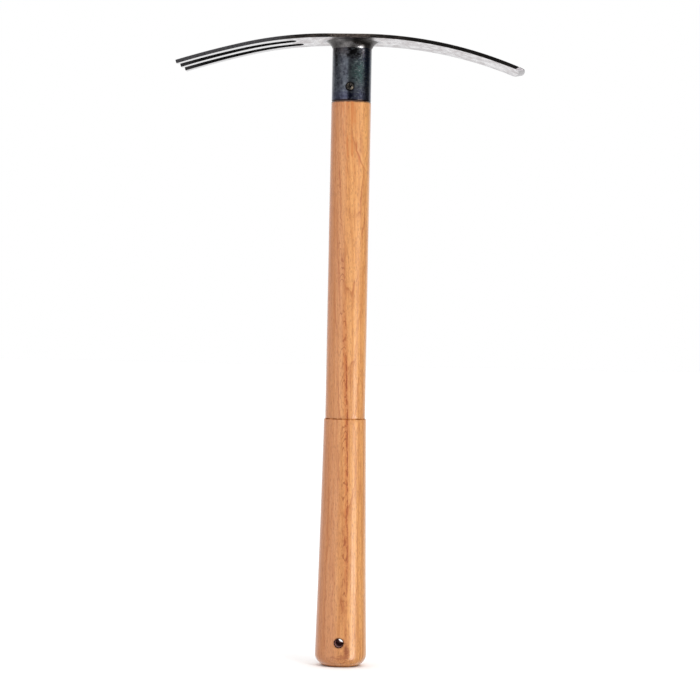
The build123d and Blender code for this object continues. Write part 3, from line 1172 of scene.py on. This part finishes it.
def weld_material():
    """Bare weld metal with a painted dark reflection right of the front and a small painted glint."""
    material, s, place = new_material("weld_metal")
    cloud = s.noise(place, (0.25, 0.25, 0.4), 3, 0.6)
    grit = s.noise(place, (1.6, 1.6, 1.6), 4, 0.6)
    flaky = s.noise(place, (0.5, 0.5, 1.1), 3, 0.6)
    colour = s.mix(s.share(cloud, 0.35, 0.65), (104, 101, 101), (134, 131, 131))
    # Painted dark reflection: a black, mottled stretch on the bead right of the front.
    weld_mark = s.distance(place, (10.4, -18.5, 532.6), (0.11, 0.05, 0.3)) + flaky
    crust = s.mix(s.share(grit, 0.45, 0.62), (22, 20, 19), (96, 90, 86))
    # Painted highlight: a small bright glint low on the bead.
    painted_glint = s.distance(place, (8, -15.5, 528), (0.36, 0.2, 1.5))
    colour = s.layers(
        colour,
        ((82, 74, 72), grit, 0.58, 0.75, 0.6),
        ((66, 62, 61), abs(s.split(place)[0]), 9, 17, 0.95),
        (crust, weld_mark, 1.52, 1.4, 0.95),
        ((232, 230, 228), painted_glint, 1.2, 0.5, 0.9),
    )
    s.metal(colour, s.remap(grit, 0.3, 0.7, 0.22, 0.36), s.bump(grit, 0.06))
    return material


def screw_material():
    """Blackened steel, with painted shade on the rim and in the recess and painted highlights on the
    flats.
    """
    material, s, place = new_material("blackened_screw")
    grit = s.noise(place, (1.2, 1.2, 1.2), 3, 0.6)
    colour = s.mix(s.share(grit, 0.4, 0.6), (50, 48, 47), (118, 112, 106))
    rim = s.distance(place, SCREW_CENTRE, FACE_ON) + grit * 0.8
    colour = s.layers(
        colour,
        # Painted highlights on the head's flats: a bright one low right and a faint one high left.
        ((222, 206, 184), s.distance(place, (1.7, 0, SCREW_HEIGHT - 1.5), FACE_ON), 1.7, 0.8, 0.92),
        ((150, 140, 124), s.distance(place, (-1.9, 0, SCREW_HEIGHT + 2.1), FACE_ON), 1.2, 0.5, 0.8),
        # Painted shade: near black round the edge of the head and deep in the recess.
        ((20, 19, 18), rim, 3.2, 3.6),
        ((9, 8, 8), s.split(place)[1] + SCREW_FACE, 0.12, 0.5),
    )
    s.metal(colour, s.remap(grit, 0.3, 0.7, 0.25, 0.45), s.bump(grit, 0.03))
    return material


# Studio

CAMERA_AZIMUTH = radians(4.4)
CAMERA_DISTANCE = 2.230
CAMERA_HEIGHT = 0.2702
CAMERA_ROLL = radians(1.12)
CAMERA_LENS = 133.8
CAMERA_SHIFT = 0.00514


def make_camera():
    """Level view from the screw's side, a little round towards the blade, with a slight roll."""
    camera = add_object("camera", bpy.data.cameras.new("camera"))
    camera.data.lens = CAMERA_LENS
    camera.data.shift_x = CAMERA_SHIFT
    place = on_turned(CAMERA_DISTANCE, CAMERA_AZIMUTH, 0)
    look = (-place).to_track_quat("-Z", "Y").to_matrix().to_4x4()
    place.z = CAMERA_HEIGHT
    camera.matrix_world = Matrix.Translation(place) @ look @ Matrix.Rotation(CAMERA_ROLL, 4, "Z")
    bpy.context.scene.camera = camera


# Brightness of the studio at eye level: (degrees right of the camera, level)
WALLS = [
    (-180, 1), (-150, 1), (-138, 0.75), (-112, 0.45), (-76, 0.43), (-70, 0.72), (-54, 0.8), (-49, 1),
    (-26, 1.02), (-21, 0.42), (-12, 0.19), (4, 0.28), (22, 0.42), (34, 0.5), (62, 0.5), (76, 0.32),
    (90, 0.14), (98, 0.07), (120, 0.1), (132, 0.5), (146, 1), (180, 1),
]
BRIGHTEST_WALL = 1.1
CEILING_LEVEL = 1.4
SOFT_BOX_LEVEL = 6.6


def studio_world():
    """A white studio: pale walls, darker behind the camera, a bright ceiling and a soft box."""
    world = bpy.data.worlds.new("studio")
    bpy.context.scene.world = world
    world.use_nodes = True
    s = Shader(world.node_tree)
    view = s.put("ShaderNodeTexCoord", {}, "Generated")
    view = s.put("ShaderNodeMapping", {"Vector": view, "Rotation": (0, 0, -CAMERA_AZIMUTH)})
    x, y, z = s.split(view)
    azimuth = s.calc("ARCTAN2", x, y * -1) * (180 / pi)
    rise = s.calc("ARCSINE", z) * (180 / pi)
    stops = [((angle + 180) / 360, level / BRIGHTEST_WALL) for angle, level in WALLS]
    walls = s.ramp(s.remap(azimuth, -180, 180, kind="LINEAR"), stops) * BRIGHTEST_WALL
    ceiling = s.share(rise, 12, 50)
    room = walls * (1 - ceiling) + ceiling * CEILING_LEVEL
    box = s.share(azimuth, 40, 46) * s.share(azimuth, 74, 65)
    box = box * s.share(rise, 1.2, -2.5) * s.share(rise, -42, -34)
    level = room + box * SOFT_BOX_LEVEL
    seen = s.put("ShaderNodeLightPath", {}, "Is Camera Ray")
    shown = s.mix(seen, s.join(level, level, level), WHITE)
    background = s.put("ShaderNodeBackground", {"Color": shown})
    s.put("ShaderNodeOutputWorld", {"Surface": background})


def make_floor():
    """A wide pale floor at the butt's level. Polished parts look past it at the studio."""
    bm = bmesh.new()
    bmesh.ops.create_grid(bm, x_segments=8, y_segments=8, size=40)
    floor = add_mesh("floor", bm)
    material, s, place = new_material("pale_floor")
    faint = s.noise(place, (0.002, 0.002, 0.002))
    colour = s.mix(s.share(faint, 0.3, 0.7), (243, 243, 243), (247, 247, 247))
    s.surface(colour, 0.9, {"Specular IOR Level": 0.1})
    floor.data.materials.append(material)
    floor.visible_glossy = False


def soft_light(name, place, size, power):
    """A round lamp that points at the middle of the tool."""
    light = bpy.data.lights.new(name, "AREA")
    light.shape = "DISK"
    light.size = size
    light.energy = power
    lamp = add_object(name, light)
    lamp.location = place
    aim = Vector((0, 0, 0.3)) - Vector(place)
    lamp.rotation_euler = aim.to_track_quat("-Z", "Y").to_euler()
    lamp.visible_glossy = False


make_handle(wood_material())
make_socket_tube(tube_material())
make_weld(weld_material())
make_head(head_material())
make_screw(screw_material())

make_camera()
studio_world()
make_floor()
soft_light("key", (1.3, -1.6, 1.5), 1.2, 16)
bpy.context.scene.view_settings.view_transform = "Standard"
